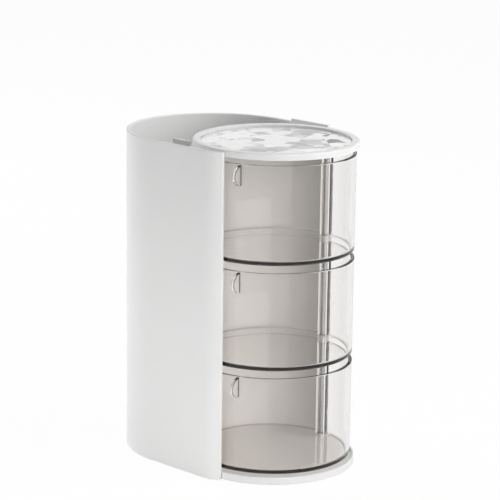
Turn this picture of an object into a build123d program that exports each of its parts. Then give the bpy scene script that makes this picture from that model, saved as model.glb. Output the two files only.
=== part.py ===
"""Makeup tool holder: an oblong white shell with an open well at the back and, at the front,
a round tower of three clear drawers that swing out one by one on an upright pin.

The origin is on the ground at the middle of the footprint. +X points to the drawer end, -Y to the
plain side wall whose front end is rounded, +Z up. All sizes are in millimetres. Places whose names
end in _x or _y are measured from the tower's own upright axis.
"""
from build123d import *
import os
from math import cos, radians, sin, sqrt

# Drawers
drawer_radius = 49.4
drawer_wall = 2.2
drawer_floor = 1.9
drawer_height = 60.8
drawer_gap = 4.7
drawer_foot_fillet = 1.2
drawer_inner_fillet = 1.2
drawer_rim_fillet = 0.6
drawer_lift = 2.0
barrel_diameter = 7.3
drawer_names = ["drawer_bottom", "drawer_middle", "drawer_top"]

# Finger tabs
tab_angle = -72.0
tab_height = 12.5
tab_reach = 8.8
tab_thickness = 2.0
tab_drop = 0.5
tab_fillet = 0.5

# Hinge pin
pivot_x = 2.0
pivot_inset = 4.4
pin_diameter = 3.0
pin_head_diameter = 6.4
pin_head_height = 1.2
spacer_diameter = 6.2

# Clearances
bay_gap = 2.0
fit_gap = 0.2
side_gap = 0.7
plate_gap = 0.3
cap_gap = 0.4
insert_gap = 0.2
pin_running_gap = 0.05
screw_gap = 0.05
head_gap = 0.3
spacer_end_gap = 0.15
pad_drawer_gap = 0.5
deck_over_rim = 1.6
front_gap = 0.6

# Inner frame
bay_wall = 1.8
deck_thickness = 2.0
deck_width = 17.0
deck_ear_inset = 0.6
bay_top_lip = 0.6
bay_top_drop = 1.5
rail_width = 6.6
rail_back_inset = 10.0
rail_front = 2.0
rail_core_wall = 1.8
rail_core_length = 8.0
fin_thickness = 1.8
fin_length = 13.4
fin_rise = 1.0
pocket_width = 18.4
guard_thickness = 1.8
guard_back_inset = 15.0
guard_rise = 2.0
frame_top_fillet = 0.4

# Shell
shell_wall = 2.4
shell_drop = 1.2
axis_spacing = 51.0
near_end_x = 6.5
near_round_start_x = -5.5
near_round_radius = 22.0
far_end_x = -4.5
rim_fillet = 0.7
shell_foot_fillet = 0.5
near_end_fillet = 0.5
far_end_fillet = 0.9
ledge_depth = 1.6
ledge_height = 1.5

# Base plate
base_reach = 2.6
base_recess = 0.7
plate_thickness = 3.0
disc_thickness = 3.9
lip_height = 0.8
lip_width = 1.4
lip_fillet = 0.6

# Cap and its glossy disc
cap_height = 4.1
cap_ring_width = 4.6
cap_web = 1.6
cap_outer_fillet = 1.0
cap_inner_fillet = 0.5
insert_thickness = 1.0
insert_fillet = 0.25

# Screws, feet and closing pads
base_screw_diameter = 3.0
base_screw_length = 9.0
base_screw_head_diameter = 5.4
base_screw_head_height = 1.4
base_screw_setback = 5.4
base_screw_spacing = 15.0
boss_inset = 2.7
cap_screw_diameter = 2.5
cap_screw_length = 3.3
cap_screw_head_diameter = 4.6
countersink_angle = 90.0
cap_screw_inset = 10.4
cap_screw_start_angle = 120.0
cap_screw_step_angle = 40.0
cap_screw_count = 4
slot_width = 0.7
slot_depth = 0.6
foot_diameter = 11.0
foot_proud = 0.8
foot_pocket_depth = 0.8
foot_fillet = 0.4
front_foot_inset = 25.0
rear_foot_inset = 28.5
side_foot_inset = 26.5
pad_diameter = 8.0

# Reach within which an edge counts as lying at a given place
edge_tolerance = 0.01

# Radii and widths worked out from the sizes above
bay_radius = drawer_radius + bay_gap
cap_radius = bay_radius - cap_gap
base_radius = drawer_radius + base_reach
insert_radius = cap_radius - cap_ring_width - insert_gap
pivot_y = drawer_radius - pivot_inset
cap_screw_circle_radius = bay_radius - cap_screw_inset
rail_back = bay_radius - rail_back_inset
rail_outer_y = bay_radius + bay_wall + side_gap
rail_inner_y = rail_outer_y - rail_width
guard_inner_y = rail_outer_y - guard_thickness
guard_back = bay_radius - guard_back_inset
shell_half_width = rail_outer_y + fit_gap + shell_wall
fin_outer_y = shell_half_width - shell_wall - pocket_width
fin_y = fin_outer_y - fin_thickness / 2
fin_back = sqrt((bay_radius + bay_wall) ** 2 - fin_y ** 2) + fin_length
boss_y = rail_inner_y + boss_inset
rear_boss_x = base_screw_setback - rail_back
front_boss_x = rear_boss_x + base_screw_spacing
front_foot_x = base_radius - front_foot_inset
rear_foot_x = rear_foot_inset - axis_spacing - shell_half_width
foot_y = shell_half_width - side_foot_inset

# Places along the length, with the origin at the middle of the footprint
length = shell_half_width + axis_spacing + base_radius
tower_x = length / 2 - base_radius
well_x = tower_x - axis_spacing

# Levels from the ground up
shell_bottom_z = foot_proud
plate_bottom_z = shell_bottom_z + base_recess
plate_top_z = plate_bottom_z + plate_thickness
disc_top_z = plate_bottom_z + disc_thickness
lip_top_z = disc_top_z + lip_height
drawer_pitch = drawer_height + drawer_gap
drawer_floor_levels = [disc_top_z + drawer_lift + i * drawer_pitch for i in range(len(drawer_names))]
deck_bottom_z = drawer_floor_levels[-1] + drawer_height + deck_over_rim
deck_top_z = deck_bottom_z + deck_thickness
web_top_z = deck_top_z + cap_web
cap_top_z = deck_top_z + cap_height
shell_top_z = cap_top_z - shell_drop
fin_top_z = deck_top_z + fin_rise
guard_top_z = shell_top_z + guard_rise

tower_place = Location((tower_x, 0, 0))
pin_place = Location((tower_x + pivot_x, pivot_y, 0))
boss_places = [(tower_x + x, side * boss_y) for x in (rear_boss_x, front_boss_x) for side in (-1, 1)]
core_x = tower_x + (rear_boss_x + front_boss_x) / 2
foot_places = {
    "foot_front_near": (tower_x + front_foot_x, -foot_y),
    "foot_front_far": (tower_x + front_foot_x, foot_y),
    "foot_rear_near": (tower_x + rear_foot_x, -foot_y),
    "foot_rear_far": (tower_x + rear_foot_x, foot_y),
}


def plan_at(z):
    """Horizontal plane at height z."""
    return Plane.XY.offset(z)


def envelope(inset):
    """Closed plan of the shell drawn in by inset; its plain front is cut open afterwards."""
    half_width = shell_half_width - inset
    round_radius = near_round_radius - inset
    round_x = tower_x + near_round_start_x
    round_y = near_round_radius - shell_half_width
    front_x = round_x + round_radius
    with BuildSketch() as plan:
        with BuildLine():
            Line((round_x, -half_width), (well_x, -half_width))
            CenterArc((well_x, 0), half_width, 90, 180)
            Line((well_x, half_width), (front_x, half_width))
            Line((front_x, half_width), (front_x, round_y))
            CenterArc((round_x, round_y), round_radius, -90, 90)
        make_face()
    return plan.sketch


def front_field(near_x, far_x):
    """Plan of everything in front of near_x on the near side and of far_x on the far side."""
    reach = 2 * base_radius
    with BuildSketch() as plan:
        with Locations((tower_x + near_x, 0)):
            Rectangle(reach, reach, align=(Align.MIN, Align.MAX))
        with Locations((tower_x + far_x, 0)):
            Rectangle(reach, reach, align=(Align.MIN, Align.MIN))
    return plan.sketch


def tower_circle(radius):
    """Round plan about the tower's axis."""
    with BuildSketch() as plan:
        with Locations(tower_place):
            Circle(radius)
    return plan.sketch


def edges_at(edges, axis, value):
    """Those edges that lie wholly at one value along an axis."""
    return edges.filter_by_position(axis, value - edge_tolerance, value + edge_tolerance)


def make_outer_shell():
    """C-shaped side wall, with a ledge inside its foot that the base plate pulls against."""
    with BuildPart() as shell:
        with BuildSketch(plan_at(shell_bottom_z)):
            add(envelope(0))
            add(envelope(shell_wall), mode=Mode.SUBTRACT)
            add(front_field(near_end_x, far_end_x), mode=Mode.SUBTRACT)
            add(tower_circle(bay_radius), mode=Mode.SUBTRACT)
        extrude(amount=shell_top_z - shell_bottom_z)
        uprights = shell.edges().filter_by(Axis.Z)
        far_end = edges_at(uprights, Axis.X, tower_x + far_end_x)
        fillet(edges_at(uprights, Axis.X, tower_x + near_end_x), near_end_fillet)
        fillet(far_end.filter_by_position(Axis.Y, 0, length), far_end_fillet)
        fillet(edges_at(shell.edges(), Axis.Z, shell_top_z), rim_fillet)
        fillet(edges_at(shell.edges(), Axis.Z, shell_bottom_z), shell_foot_fillet)
        with BuildSketch(plan_at(plate_top_z)):
            add(envelope(shell_wall - fit_gap))
            add(envelope(shell_wall + ledge_depth), mode=Mode.SUBTRACT)
            add(front_field(-rail_back - fit_gap, -rail_back - fit_gap), mode=Mode.SUBTRACT)
        extrude(amount=ledge_height)
    shell.part.label = "outer_shell"
    return shell.part


def rail_plan():
    """Plan of both side rails."""
    with BuildSketch() as plan:
        with Locations((tower_x - rail_back, 0)):
            Rectangle(length, 2 * rail_outer_y, align=(Align.MIN, Align.CENTER))
            Rectangle(length, 2 * rail_inner_y, align=(Align.MIN, Align.CENTER), mode=Mode.SUBTRACT)
        add(front_field(rail_front, far_end_x), mode=Mode.SUBTRACT)
    return plan.sketch


def make_inner_frame():
    """Round bay wall between well and drawers, with its side rails, the deck over the drawers,
    two fins into the well and a thin guard that stands over the far wall's rim."""
    with BuildPart() as frame:
        with BuildSketch(plan_at(plate_top_z)):
            add(tower_circle(bay_radius + bay_wall))
            add(front_field(rail_front, far_end_x), mode=Mode.SUBTRACT)
            add(rail_plan())
            add(envelope(shell_wall + fit_gap), mode=Mode.INTERSECT)
            add(tower_circle(bay_radius), mode=Mode.SUBTRACT)
        extrude(amount=deck_top_z - plate_top_z)
        with BuildSketch(plan_at(deck_bottom_z)):
            with Locations((tower_x + pivot_x, pivot_y)):
                Rectangle(2 * (pivot_x - far_end_x), deck_width)
            add(tower_circle(cap_radius - deck_ear_inset), mode=Mode.INTERSECT)
            with BuildSketch(mode=Mode.ADD):
                add(tower_circle(bay_radius + bay_wall / 2))
                add(front_field(rail_front, far_end_x), mode=Mode.SUBTRACT)
            add(tower_circle(bay_radius - deck_width), mode=Mode.SUBTRACT)
        extrude(amount=deck_thickness)
        with BuildSketch(plan_at(deck_top_z - bay_top_drop)):
            with Locations((tower_x, 0)):
                Rectangle(2 * length, 2 * rail_inner_y)
            add(tower_circle(bay_radius + bay_top_lip), mode=Mode.SUBTRACT)
        extrude(amount=bay_top_drop, mode=Mode.SUBTRACT)
        with BuildSketch(plan_at(plate_top_z)):
            with Locations((tower_x - fin_back, -fin_y), (tower_x - fin_back, fin_y)):
                Rectangle(fin_back, fin_thickness, align=(Align.MIN, Align.CENTER))
            add(tower_circle(bay_radius), mode=Mode.SUBTRACT)
        extrude(amount=fin_top_z - plate_top_z)
        fillet(edges_at(frame.edges(), Axis.Z, fin_top_z), frame_top_fillet)
        with BuildSketch(plan_at(deck_bottom_z)):
            with Locations((tower_x - guard_back, guard_inner_y)):
                Rectangle(guard_back + far_end_x, guard_thickness, align=(Align.MIN, Align.MIN))
        extrude(amount=guard_top_z - deck_bottom_z)
        fillet(edges_at(frame.edges(), Axis.Z, guard_top_z), frame_top_fillet)
        with BuildSketch(plan_at(plate_top_z)):
            with Locations((core_x, -boss_y), (core_x, boss_y)):
                Rectangle(rail_core_length, rail_width - 2 * rail_core_wall)
        extrude(amount=deck_top_z - rail_core_wall - plate_top_z, mode=Mode.SUBTRACT)
        with BuildSketch(plan_at(plate_top_z)):
            with Locations(*boss_places):
                Circle(base_screw_diameter / 2 + screw_gap)
        extrude(amount=base_screw_length, mode=Mode.SUBTRACT)
        with BuildSketch(plan_at(deck_bottom_z)):
            with Locations(pin_place):
                Circle(pin_diameter / 2 + screw_gap)
            with Locations(tower_place):
                with PolarLocations(cap_screw_circle_radius, cap_screw_count, cap_screw_start_angle,
                                    cap_screw_step_angle * cap_screw_count):
                    Circle(cap_screw_diameter / 2 + screw_gap)
        extrude(amount=deck_thickness, mode=Mode.SUBTRACT)
    frame.part.label = "inner_frame"
    return frame.part


def make_base_plate():
    """Bottom plate inside the shell, with the round lipped disc that shows under the drawers."""
    with BuildPart() as base:
        with BuildSketch(plan_at(plate_bottom_z)):
            add(envelope(shell_wall + plate_gap))
            add(front_field(near_end_x, far_end_x), mode=Mode.SUBTRACT)
        extrude(amount=plate_thickness)
        with BuildSketch(plan_at(plate_bottom_z)):
            add(tower_circle(base_radius))
            add(front_field(near_end_x + front_gap, far_end_x + front_gap), mode=Mode.INTERSECT)
        extrude(amount=lip_top_z - plate_bottom_z)
        with BuildSketch(plan_at(plate_bottom_z)):
            add(tower_circle(bay_radius - plate_gap))
        extrude(amount=disc_thickness)
        with BuildSketch(plan_at(disc_top_z)):
            add(tower_circle(base_radius - lip_width))
        extrude(amount=lip_height, mode=Mode.SUBTRACT)
        for rim_z in (lip_top_z, plate_bottom_z):
            arcs = edges_at(base.edges(), Axis.Z, rim_z).filter_by(GeomType.CIRCLE)
            disc_arcs = arcs.filter_by(lambda arc: abs(arc.radius - base_radius) < edge_tolerance)
            fillet(disc_arcs, lip_fillet)
        with BuildSketch(plan_at(plate_bottom_z)):
            with Locations(*boss_places):
                Circle(base_screw_head_diameter / 2 + head_gap)
            with Locations(pin_place):
                Circle(pin_head_diameter / 2 + head_gap)
        extrude(amount=base_screw_head_height, mode=Mode.SUBTRACT)
        with BuildSketch(plan_at(plate_bottom_z)):
            with Locations(*boss_places):
                Circle(base_screw_diameter / 2 + screw_gap)
            with Locations(pin_place):
                Circle(pin_diameter / 2 + screw_gap)
        extrude(amount=disc_thickness, mode=Mode.SUBTRACT)
        with BuildSketch(plan_at(plate_bottom_z)):
            with Locations(*foot_places.values()):
                Circle(foot_diameter / 2 + fit_gap)
        extrude(amount=foot_pocket_depth, mode=Mode.SUBTRACT)
    base.part.label = "base_plate"
    return base.part


def make_top_cap():
    """Round cap over the tower: a raised ring about a shallow tray."""
    with BuildPart() as cap:
        with BuildSketch(plan_at(deck_top_z)):
            add(tower_circle(cap_radius))
        extrude(amount=cap_height)
        with BuildSketch(plan_at(web_top_z)):
            add(tower_circle(cap_radius - cap_ring_width))
        extrude(amount=cap_height - cap_web, mode=Mode.SUBTRACT)
        fillet(edges_at(cap.edges(), Axis.Z, cap_top_z).sort_by(SortBy.RADIUS)[-1], cap_outer_fillet)
        fillet(edges_at(cap.edges(), Axis.Z, cap_top_z).sort_by(SortBy.RADIUS)[0], cap_inner_fillet)
        with Locations(Location((tower_x, 0, web_top_z))):
            with PolarLocations(cap_screw_circle_radius, cap_screw_count, cap_screw_start_angle,
                                cap_screw_step_angle * cap_screw_count):
                CounterSinkHole(cap_screw_diameter / 2 + screw_gap,
                                cap_screw_head_diameter / 2 + screw_gap, cap_web, countersink_angle)
    cap.part.label = "top_cap"
    return cap.part


def make_cap_insert():
    """Glossy disc that lies in the cap's tray and hides its screws."""
    with BuildPart() as insert:
        with BuildSketch(plan_at(web_top_z)):
            add(tower_circle(insert_radius))
        extrude(amount=insert_thickness)
        fillet(edges_at(insert.edges(), Axis.Z, web_top_z + insert_thickness), insert_fillet)
    insert.part.label = "cap_insert"
    return insert.part


def make_drawer(name, floor_z):
    """Round clear drawer with a D-shaped finger tab and a hinge barrel in its wall."""
    radial = (cos(radians(tab_angle)), sin(radians(tab_angle)), 0)
    across = (radial[1], -radial[0], 0)
    tab_middle_z = floor_z + drawer_height - tab_drop - tab_height / 2
    root = drawer_wall / 2
    with BuildPart() as drawer:
        with BuildSketch(Plane(origin=(tower_x, 0, tab_middle_z), x_dir=radial, z_dir=across)):
            with BuildLine():
                EllipticalCenterArc((drawer_radius, 0), tab_reach, tab_height / 2, -90, arc_size=180)
                Polyline(
                    (drawer_radius, tab_height / 2),
                    (drawer_radius - root, tab_height / 2),
                    (drawer_radius - root, -tab_height / 2),
                    (drawer_radius, -tab_height / 2),
                )
            make_face()
        extrude(amount=tab_thickness / 2, both=True)
        fillet(drawer.edges().filter_by(GeomType.ELLIPSE), tab_fillet)
        with BuildSketch(plan_at(floor_z)):
            add(tower_circle(drawer_radius))
        extrude(amount=drawer_height)
        fillet(edges_at(drawer.edges(), Axis.Z, floor_z), drawer_foot_fillet)
        with BuildSketch(plan_at(floor_z + drawer_floor)):
            add(tower_circle(drawer_radius - drawer_wall))
        extrude(amount=drawer_height - drawer_floor, mode=Mode.SUBTRACT)
        fillet(edges_at(drawer.edges(), Axis.Z, floor_z + drawer_floor), drawer_inner_fillet)
        fillet(edges_at(drawer.edges(), Axis.Z, floor_z + drawer_height), drawer_rim_fillet)
        with BuildSketch(plan_at(floor_z)):
            with Locations(pin_place):
                Circle(barrel_diameter / 2)
        extrude(amount=drawer_height)
        with BuildSketch(plan_at(floor_z)):
            with Locations(pin_place):
                Circle(pin_diameter / 2 + pin_running_gap)
        extrude(amount=drawer_height, mode=Mode.SUBTRACT)
    drawer.part.label = name
    return drawer.part


def make_hinge_pin():
    """Steel pin through every drawer's barrel, with a flat head under the base."""
    head_bottom_z = plate_bottom_z + base_screw_head_height - pin_head_height
    with BuildPart() as pin:
        with BuildSketch(plan_at(head_bottom_z)):
            with Locations(pin_place):
                Circle(pin_head_diameter / 2)
        extrude(amount=pin_head_height)
        with BuildSketch(plan_at(head_bottom_z)):
            with Locations(pin_place):
                Circle(pin_diameter / 2)
        extrude(amount=deck_top_z - fit_gap - head_bottom_z)
    pin.part.label = "hinge_pin"
    return pin.part


def make_spacer(name, bottom_z, top_z):
    """Sleeve on the hinge pin that keeps two levels apart."""
    with BuildPart() as spacer:
        with BuildSketch(plan_at(bottom_z)):
            with Locations(pin_place):
                Circle(spacer_diameter / 2)
                Circle(pin_diameter / 2 + pin_running_gap, mode=Mode.SUBTRACT)
        extrude(amount=top_z - bottom_z)
    spacer.part.label = name
    return spacer.part


def make_spacers():
    """Sleeves below, between and above the drawers."""
    undersides = drawer_floor_levels + [deck_bottom_z + spacer_end_gap]
    rims = [disc_top_z - spacer_end_gap] + [z + drawer_height for z in drawer_floor_levels]
    names = ["spacer_base", "spacer_lower", "spacer_upper", "spacer_deck"]
    return [
        make_spacer(name, rim + spacer_end_gap, underside - spacer_end_gap)
        for name, rim, underside in zip(names, rims, undersides)
    ]


def make_base_screws():
    """Four screws that draw the base plate up to the frame's rails."""
    head_bottom_z = plate_bottom_z
    head_top_z = head_bottom_z + base_screw_head_height
    with BuildPart() as screws:
        with BuildSketch(plan_at(head_bottom_z)):
            with Locations(*boss_places):
                Circle(base_screw_head_diameter / 2)
        extrude(amount=base_screw_head_height)
        with BuildSketch(plan_at(head_top_z)):
            with Locations(*boss_places):
                Circle(base_screw_diameter / 2)
        extrude(amount=base_screw_length)
        with BuildSketch(plan_at(head_bottom_z)):
            with Locations(*boss_places):
                Rectangle(base_screw_head_diameter / 2, slot_width)
                Rectangle(slot_width, base_screw_head_diameter / 2)
        extrude(amount=slot_depth, mode=Mode.SUBTRACT)
    screws.part.label = "base_screws"
    return screws.part


def make_cap_screws():
    """Countersunk screws that hold the cap to the deck, below the glossy disc."""
    shank_radius = cap_screw_diameter / 2
    head_radius = cap_screw_head_diameter / 2
    head_depth = head_radius - shank_radius
    with BuildPart() as screws:
        with Locations(Location((tower_x, 0, 0))):
            places = PolarLocations(cap_screw_circle_radius, cap_screw_count, cap_screw_start_angle,
                                    cap_screw_step_angle * cap_screw_count)
            with places:
                with Locations((0, 0, web_top_z - head_depth / 2)):
                    Cone(shank_radius, head_radius, head_depth)
                with Locations((0, 0, web_top_z - cap_screw_length / 2)):
                    Cylinder(shank_radius, cap_screw_length)
    screws.part.label = "cap_screws"
    return screws.part


def make_foot(name, place):
    """Rubber foot stuck in a shallow pocket under the base plate."""
    with BuildPart() as foot:
        with BuildSketch():
            with Locations(place):
                Circle(foot_diameter / 2)
        extrude(amount=plate_bottom_z + foot_pocket_depth)
        fillet(edges_at(foot.edges(), Axis.Z, 0), foot_fillet)
    foot.part.label = name
    return foot.part


def make_closing_pads():
    """Soft dots on the bay wall, one for each drawer to close against."""
    pad_face_x = drawer_radius + pad_drawer_gap
    with BuildPart() as pads:
        with BuildSketch(Plane.YZ.offset(tower_x - bay_radius)):
            with Locations(*[(0, z + drawer_height / 2) for z in drawer_floor_levels]):
                Circle(pad_diameter / 2)
        extrude(amount=bay_radius - pad_face_x)
        with BuildSketch(Plane.XY):
            add(tower_circle(bay_radius))
        extrude(amount=deck_top_z, mode=Mode.INTERSECT)
    pads.part.label = "closing_pads"
    return pads.part


def make_parts():
    """Every piece of the holder."""
    parts = [make_outer_shell(), make_inner_frame(), make_base_plate(), make_top_cap(), make_cap_insert()]
    parts += [make_drawer(name, z) for name, z in zip(drawer_names, drawer_floor_levels)]
    parts += [make_hinge_pin(), *make_spacers(), make_base_screws(), make_cap_screws(), make_closing_pads()]
    parts += [make_foot(name, place) for name, place in foot_places.items()]
    return parts


os.makedirs("parts", exist_ok=True)
for part in make_parts():
    export_step(part, f"parts/{part.label}.step")
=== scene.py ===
"""Looks of the makeup tool holder: satin white plastic, clear drawers, steel pin and a white studio."""
from math import cos, radians, sin
import bpy
from mathutils import Matrix, Vector

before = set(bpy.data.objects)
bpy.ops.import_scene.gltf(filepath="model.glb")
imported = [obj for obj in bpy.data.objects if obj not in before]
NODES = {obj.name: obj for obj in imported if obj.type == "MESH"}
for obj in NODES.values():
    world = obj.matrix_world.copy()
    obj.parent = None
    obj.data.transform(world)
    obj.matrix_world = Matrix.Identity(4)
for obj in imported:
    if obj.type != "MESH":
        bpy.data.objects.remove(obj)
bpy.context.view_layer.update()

# Camera, fitted to the photograph
IMAGE_PX = 500
SENSOR_MM = 36.0
FOCAL_PX = 2250.2
AXIS_PX = (273.61, 306.08)
VIEW_TURN = radians(43.3)
VIEW_RISE = radians(14.96)
VIEW_ROLL = radians(0.91)
VIEW_DISTANCE = 1.3988
VIEW_TARGET = Vector((0.02775, 0.0, 0.1008))
VIEW_DEPTH = 20.0

# Colours, as linear values. CLEAR_TINT is what depth makes of the clear plastic, and CLEAR_SHADE is
# how much of the lamps' light passes it.
WHITE_PLASTIC = (0.90, 0.90, 0.895)
TRAY_WHITE = (0.72, 0.72, 0.725)
CLEAR_SKIN = (1.0, 1.0, 1.0)
CLEAR_TINT = (0.64, 0.54, 0.47)
CLEAR_SHADE = (0.99, 0.98, 0.97)
STEEL = (0.56, 0.56, 0.57)
NYLON = (0.78, 0.77, 0.73)
PAD_GREY = (0.62, 0.61, 0.58)
RUBBER = (0.045, 0.045, 0.047)
FLOOR_WHITE = (0.92, 0.92, 0.92)
PLAIN_WHITE = (1.0, 1.0, 1.0)

# Finishes that hold over a whole surface
SATIN_ROUGHNESS = 0.42
NYLON_ROUGHNESS = 0.35
STEEL_ROUGHNESS = 0.28
RUBBER_ROUGHNESS = 0.75
FLOOR_ROUGHNESS = 0.9
PLASTIC_IOR = 1.49
CLEAR_DENSITY = 42.0

# Studio: the floor's size and how white it is seen, the world's light, and what the lamps point to
FLOOR_HALF_SIDE = 4.0
FLOOR_SEEN_WHITE = 0.97
WORLD_LEVEL = 0.145
BODY_MIDDLE = (0.0, 0.0, 0.1)
WALL_FOOT = (-0.03, 0.0, 0.03)

# How bright the world looks in gloss, by the rise of the mirrored direction
MIRRORED_BANDS = ((0.05, 1.0), (0.22, 1.0), (0.31, 0.5), (0.60, 0.5), (0.85, 1.0))


def opaque(color):
    """Colour with a full alpha."""
    return (*color, 1.0)


def shade(color, factor):
    """Colour made darker or lighter by a factor."""
    return tuple(channel * factor for channel in color)


class Graph:
    """Node tree of a material or a world, with short ways to add and join nodes."""

    def __init__(self, owner, output):
        owner.use_nodes = True
        self.owner = owner
        self.tree = owner.node_tree
        self.tree.nodes.clear()
        self.output = self.add(output)

    def add(self, kind, **settings):
        """Adds a node, and sets its inputs and its own properties by name."""
        node = self.tree.nodes.new(kind)
        for name, value in settings.items():
            if name in node.inputs:
                node.inputs[name].default_value = value
            else:
                setattr(node, name, value)
        return node

    def join(self, source, target):
        self.tree.links.new(source, target)

    def surface(self, color, roughness, **inputs):
        """Joins a principled shader to the output. Its inputs are named with _ for each blank."""
        shader = self.add("ShaderNodeBsdfPrincipled", Roughness=roughness)
        shader.inputs["Base Color"].default_value = opaque(color)
        for name, value in inputs.items():
            shader.inputs[name.replace("_", " ")].default_value = value
        self.join(shader.outputs["BSDF"], self.output.inputs["Surface"])
        return shader

    def noise(self, waves, detail=3.0, along=(1.0, 1.0, 1.0)):
        """Noise with so many waves in a metre of the part, or only a share of them along some axes."""
        place = self.add("ShaderNodeTexCoord")
        mapping = self.add("ShaderNodeMapping", Scale=along)
        texture = self.add("ShaderNodeTexNoise", Scale=waves, Detail=detail)
        self.join(place.outputs["Object"], mapping.inputs["Vector"])
        self.join(mapping.outputs["Vector"], texture.inputs["Vector"])
        return texture.outputs["Fac"]

    def spread(self, factor, low, high):
        """Turns a 0 to 1 factor into a number between low and high."""
        span = self.add("ShaderNodeMapRange")
        span.inputs["To Min"].default_value = low
        span.inputs["To Max"].default_value = high
        self.join(factor, span.inputs["Value"])
        return span.outputs["Result"]

    def blend(self, factor, first, second):
        """Colour that goes from the first to the second with a 0 to 1 factor."""
        mix = self.add("ShaderNodeMix", data_type="RGBA")
        mix.inputs["A"].default_value = opaque(first)
        mix.inputs["B"].default_value = opaque(second)
        self.join(factor, mix.inputs["Factor"])
        return mix.outputs["Result"]

    def bump(self, height, depth, under=None):
        """Normals of a 0 to 1 height that is so many metres deep, over the normals under it."""
        node = self.add("ShaderNodeBump", Distance=depth, Strength=1.0)
        self.join(height, node.inputs["Height"])
        if under is not None:
            self.join(under, node.inputs["Normal"])
        return node.outputs["Normal"]

    def facets(self, cells, tilt, under=None):
        """Normals that lean another way in each cell of a random pattern, like creased foil."""
        place = self.add("ShaderNodeTexCoord")
        pattern = self.add("ShaderNodeTexVoronoi", Scale=cells, Randomness=1.0)
        centred = self.add("ShaderNodeVectorMath", operation="SUBTRACT")
        centred.inputs[1].default_value = (0.5, 0.5, 0.5)
        leant = self.add("ShaderNodeVectorMath", operation="MULTIPLY_ADD")
        leant.inputs[1].default_value = (tilt, tilt, 0.0)
        if under is None:
            under = self.add("ShaderNodeNewGeometry").outputs["Normal"]
        unit = self.add("ShaderNodeVectorMath", operation="NORMALIZE")
        self.join(place.outputs["Object"], pattern.inputs["Vector"])
        self.join(pattern.outputs["Color"], centred.inputs[0])
        self.join(centred.outputs["Vector"], leant.inputs[0])
        self.join(under, leant.inputs[2])
        self.join(leant.outputs["Vector"], unit.inputs[0])
        return unit.outputs["Vector"]

    def is_ray(self, *kinds):
        """Factor of 1 for rays of any of these kinds, and 0 for all others."""
        light_path = self.add("ShaderNodeLightPath")
        factor = light_path.outputs[kinds[0]]
        for kind in kinds[1:]:
            either = self.add("ShaderNodeMath", operation="MAXIMUM")
            self.join(factor, either.inputs[0])
            self.join(light_path.outputs[kind], either.inputs[1])
            factor = either.outputs["Value"]
        return factor

    def mix_shaders(self, factor, first, second):
        """Shader that goes from the first to the second with a 0 to 1 factor."""
        mix = self.add("ShaderNodeMixShader")
        self.join(factor, mix.inputs["Fac"])
        self.join(first, mix.inputs[1])
        self.join(second, mix.inputs[2])
        return mix.outputs["Shader"]


def material_graph(name):
    """Empty node tree of a new material."""
    return Graph(bpy.data.materials.new(name), "ShaderNodeOutputMaterial")


def satin_plastic(name, color, roughness):
    """Moulded plastic with a fine spark-eroded grain and a very slight sink in its large faces."""
    graph = material_graph(name)
    shader = graph.surface(color, roughness, IOR=PLASTIC_IOR)
    tone = graph.blend(graph.noise(waves=14.0), first=shade(color, 0.975), second=color)
    gloss = graph.spread(graph.noise(waves=60.0), low=roughness - 0.04, high=roughness + 0.05)
    sink = graph.bump(graph.noise(waves=9.0), depth=0.00012)
    grain = graph.bump(graph.noise(waves=5200.0, detail=2.0), depth=0.000012, under=sink)
    graph.join(tone, shader.inputs["Base Color"])
    graph.join(gloss, shader.inputs["Roughness"])
    graph.join(grain, shader.inputs["Normal"])
    return graph.owner


def gloss_plastic(name, color):
    """Mirror-bright plastic disc whose skin is creased into flat facets that each reflect another way."""
    graph = material_graph(name)
    shader = graph.surface(
        color, roughness=0.06, IOR=1.6, Coat_Weight=1.0, Coat_Roughness=0.03, Coat_IOR=1.8)
    tone = graph.blend(graph.noise(waves=18.0), first=shade(color, 0.97), second=color)
    gloss = graph.spread(graph.noise(waves=90.0), low=0.03, high=0.09)
    folds = graph.facets(cells=34.0, tilt=0.15)
    creases = graph.facets(cells=140.0, tilt=0.09, under=folds)
    marks = graph.noise(waves=900.0, detail=2.0, along=(1.0, 0.03, 1.0))
    scratches = graph.bump(marks, depth=0.000002, under=creases)
    graph.join(tone, shader.inputs["Base Color"])
    graph.join(gloss, shader.inputs["Roughness"])
    graph.join(scratches, shader.inputs["Normal"])
    graph.join(creases, shader.inputs["Coat Normal"])
    return graph.owner


def clear_plastic(name, tint, density):
    """Clear injection-moulded plastic that darkens with the depth of plastic looked through."""
    graph = material_graph(name)
    shader = graph.surface(CLEAR_SKIN, roughness=0.0, IOR=PLASTIC_IOR, Transmission_Weight=1.0)
    graph.join(graph.spread(graph.noise(waves=70.0), low=0.0, high=0.03), shader.inputs["Roughness"])
    graph.join(graph.bump(graph.noise(waves=30.0), depth=0.00003), shader.inputs["Normal"])
    lets_light_by = graph.add("ShaderNodeBsdfTransparent", Color=opaque(CLEAR_SHADE))
    body = graph.mix_shaders(
        graph.is_ray("Is Shadow Ray"), shader.outputs["BSDF"], lets_light_by.outputs["BSDF"])
    inside = graph.add("ShaderNodeVolumeAbsorption", Color=opaque(tint), Density=density)
    graph.join(body, graph.output.inputs["Surface"])
    graph.join(inside.outputs["Volume"], graph.output.inputs["Volume"])
    return graph.owner


def drawn_steel(name, color):
    """Plated steel with fine marks along its length."""
    graph = material_graph(name)
    shader = graph.surface(color, STEEL_ROUGHNESS, Metallic=1.0)
    lines = graph.noise(waves=2400.0, along=(1.0, 1.0, 0.02))
    graph.join(graph.blend(lines, first=shade(color, 0.85), second=color), shader.inputs["Base Color"])
    graph.join(graph.spread(lines, low=0.2, high=0.38), shader.inputs["Roughness"])
    graph.join(graph.bump(lines, depth=0.000004), shader.inputs["Normal"])
    return graph.owner


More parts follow.
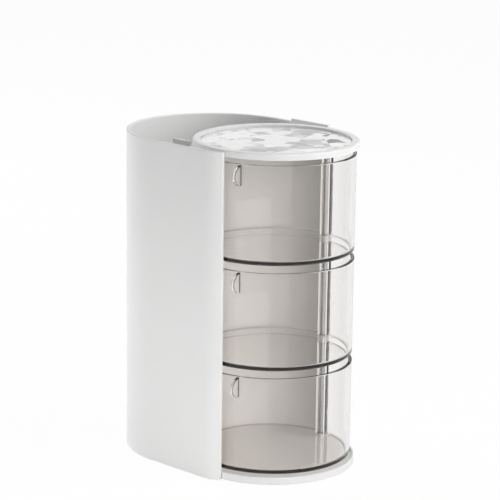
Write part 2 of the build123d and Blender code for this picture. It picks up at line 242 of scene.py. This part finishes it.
def soft_rubber(name, color):
    """Matt rubber with a pebbled skin."""
    graph = material_graph(name)
    shader = graph.surface(color, RUBBER_ROUGHNESS)
    tone = graph.blend(graph.noise(waves=300.0), first=shade(color, 0.8), second=shade(color, 1.25))
    pebbles = graph.bump(graph.noise(waves=3000.0), depth=0.00003)
    graph.join(tone, shader.inputs["Base Color"])
    graph.join(pebbles, shader.inputs["Normal"])
    return graph.owner


def dress(material, *names):
    """Gives CAD nodes their material."""
    for name in names:
        data = NODES[name].data
        data.materials.clear()
        data.materials.append(material)


def make_camera():
    """Camera where the photograph was taken from, with its slight roll and the off-centre crop."""
    back = Vector((sin(VIEW_TURN) * cos(VIEW_RISE), -cos(VIEW_TURN) * cos(VIEW_RISE), sin(VIEW_RISE)))
    right = Vector((cos(VIEW_TURN), sin(VIEW_TURN), 0.0))
    up = back.cross(right)
    rolled_right = right * cos(VIEW_ROLL) + up * sin(VIEW_ROLL)
    rolled_up = up * cos(VIEW_ROLL) - right * sin(VIEW_ROLL)
    data = bpy.data.cameras.new("camera")
    data.sensor_width = SENSOR_MM
    data.lens = FOCAL_PX / IMAGE_PX * SENSOR_MM
    data.shift_x = 0.5 - AXIS_PX[0] / IMAGE_PX
    data.shift_y = AXIS_PX[1] / IMAGE_PX - 0.5
    data.clip_end = VIEW_DEPTH
    camera = bpy.data.objects.new("camera", data)
    camera.matrix_world = Matrix.Translation(VIEW_TARGET + back * VIEW_DISTANCE) @ Matrix(
        (rolled_right, rolled_up, back)).transposed().to_4x4()
    bpy.context.scene.collection.objects.link(camera)
    bpy.context.scene.camera = camera


def make_floor():
    """White floor, seen mostly as plain white with a trace of the object's shadow."""
    graph = material_graph("studio_floor")
    lit = graph.surface(FLOOR_WHITE, FLOOR_ROUGHNESS)
    white = graph.add("ShaderNodeEmission", Color=opaque(PLAIN_WHITE), Strength=1.0)
    share = graph.add("ShaderNodeMath", operation="MULTIPLY")
    share.inputs[1].default_value = FLOOR_SEEN_WHITE
    graph.join(graph.is_ray("Is Camera Ray", "Is Transmission Ray", "Is Glossy Ray"), share.inputs[0])
    seen = graph.mix_shaders(share.outputs["Value"], lit.outputs["BSDF"], white.outputs["Emission"])
    graph.join(seen, graph.output.inputs["Surface"])
    half = FLOOR_HALF_SIDE
    corners = [(-half, -half, 0), (half, -half, 0), (half, half, 0), (-half, half, 0)]
    mesh = bpy.data.meshes.new("floor")
    mesh.from_pydata(corners, [], [(0, 1, 2, 3)])
    mesh.materials.append(graph.owner)
    floor = bpy.data.objects.new("floor", mesh)
    bpy.context.scene.collection.objects.link(floor)


def make_world():
    """Even soft light, seen as plain white, with a bright horizon and a greyer height for reflections."""
    world = bpy.data.worlds.new("studio")
    bpy.context.scene.world = world
    graph = Graph(world, "ShaderNodeOutputWorld")
    soft = graph.add("ShaderNodeBackground", Color=opaque(PLAIN_WHITE), Strength=WORLD_LEVEL)
    white = graph.add("ShaderNodeBackground", Color=opaque(PLAIN_WHITE), Strength=1.0)
    mirrored = graph.add("ShaderNodeBackground", Strength=1.0)
    direction = graph.add("ShaderNodeTexCoord")
    height = graph.add("ShaderNodeSeparateXYZ")
    bands = graph.add("ShaderNodeValToRGB")
    stops = bands.color_ramp.elements
    for rise, grey in MIRRORED_BANDS:
        stops.new(rise).color = opaque((grey, grey, grey))
    stops.remove(stops[0])
    stops.remove(stops[-1])
    graph.join(direction.outputs["Generated"], height.inputs["Vector"])
    graph.join(height.outputs["Z"], bands.inputs["Fac"])
    graph.join(bands.outputs["Color"], mirrored.inputs["Color"])
    lit = graph.mix_shaders(
        graph.is_ray("Is Glossy Ray"), soft.outputs["Background"], mirrored.outputs["Background"])
    seen = graph.mix_shaders(
        graph.is_ray("Is Camera Ray", "Is Transmission Ray"), lit, white.outputs["Background"])
    graph.join(seen, graph.output.inputs["Surface"])


def make_lamp(name, place, aim, size, power, through_clear=False):
    """Oblong soft light turned to a point. It is never seen itself, but may show through clear plastic."""
    data = bpy.data.lights.new(name, "AREA")
    data.shape = "RECTANGLE"
    data.size, data.size_y = size
    data.energy = power
    lamp = bpy.data.objects.new(name, data)
    lamp.location = place
    lamp.rotation_euler = (Vector(aim) - Vector(place)).to_track_quat("-Z", "Y").to_euler()
    lamp.visible_camera = False
    lamp.visible_glossy = False
    lamp.visible_transmission = through_clear
    bpy.context.scene.collection.objects.link(lamp)


bpy.context.scene.view_settings.view_transform = "Standard"
make_camera()
make_floor()
make_world()
make_lamp("lamp_left", place=(-1.45, 0.0, 0.7), aim=BODY_MIDDLE, size=(0.5, 0.8), power=14.2)
make_lamp("lamp_right", place=(1.4, -0.3, 0.45), aim=BODY_MIDDLE, size=(1.5, 1.0), power=9.6,
          through_clear=True)
make_lamp("lamp_back", place=(0.6, 0.45, 1.1), aim=BODY_MIDDLE, size=(0.7, 0.7), power=8.0)
make_lamp("lamp_low", place=(-0.03, -0.33, 0.03), aim=WALL_FOOT, size=(0.45, 0.04), power=0.3)

dress(satin_plastic("satin_white", WHITE_PLASTIC, SATIN_ROUGHNESS),
      "outer_shell", "inner_frame", "base_plate", "top_cap")
dress(gloss_plastic("tray_gloss", TRAY_WHITE),
      "cap_insert")
dress(clear_plastic("drawer_clear", CLEAR_TINT, CLEAR_DENSITY),
      "drawer_bottom", "drawer_middle", "drawer_top")
dress(drawn_steel("plated_steel", STEEL),
      "hinge_pin", "base_screws", "cap_screws")
dress(satin_plastic("sleeve_nylon", NYLON, NYLON_ROUGHNESS),
      "spacer_base", "spacer_lower", "spacer_upper", "spacer_deck")
dress(soft_rubber("pad_soft", PAD_GREY),
      "closing_pads")
dress(soft_rubber("foot_rubber", RUBBER),
      "foot_front_near", "foot_front_far", "foot_rear_near", "foot_rear_far")
